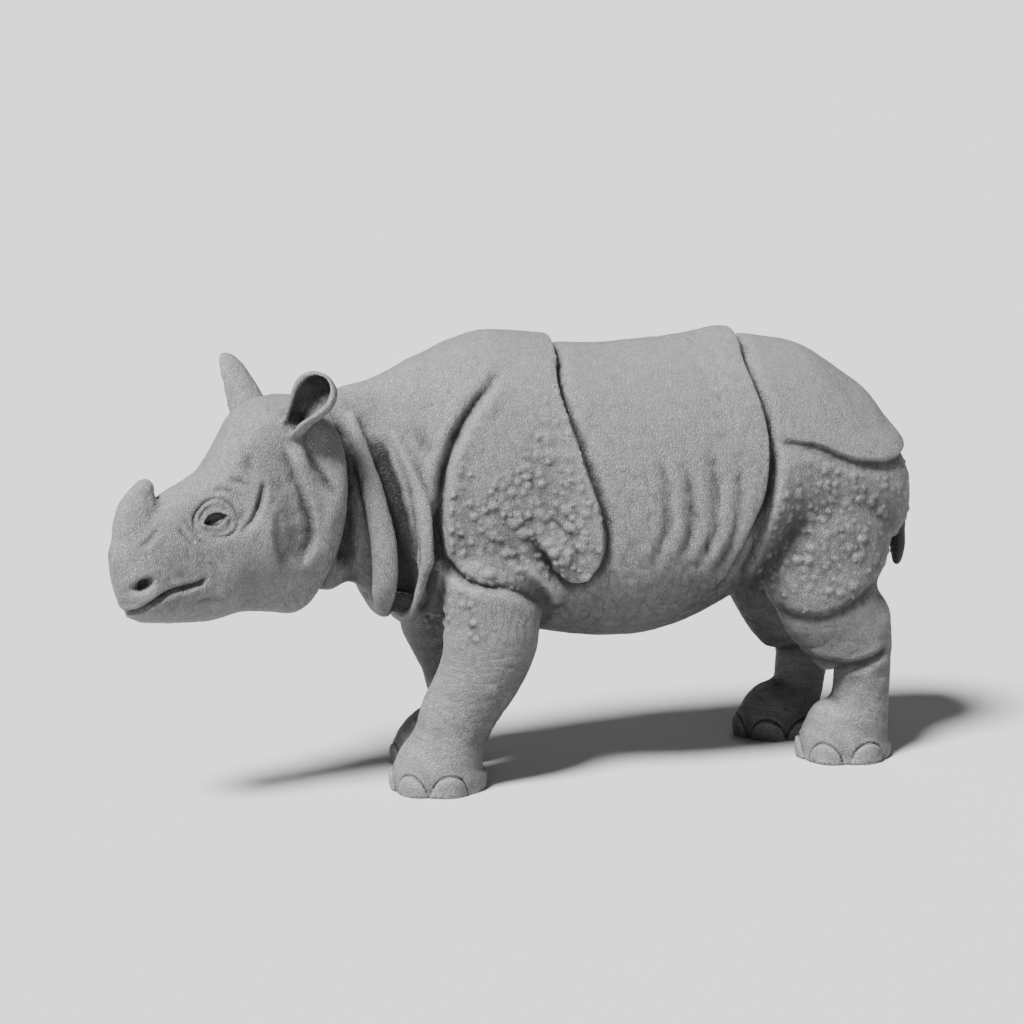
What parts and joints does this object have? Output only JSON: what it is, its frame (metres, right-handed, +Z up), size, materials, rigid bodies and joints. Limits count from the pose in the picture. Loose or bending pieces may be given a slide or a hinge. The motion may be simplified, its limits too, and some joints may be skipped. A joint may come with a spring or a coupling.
{
  "type": "rhinoceros figurine",
  "caption": "Walking greater one-horned rhinoceros figurine, cast in one solid piece, with folded and knobbly armour-like skin, standing on its own feet.",
  "frame": {"origin": "middle of the figure's outline on the floor, at the level of its soles", "axes": "+X from the head towards the tail along the body, +Z up; the head is turned a little towards -Y"},
  "size_m": [0.175, 0.0426, 0.0934],
  "materials": {
    "grey_resin": "matte"
  },
  "bodies": {
    "root": {"rhinoceros_figurine": "grey_resin"}
  },
  "joints": []
}
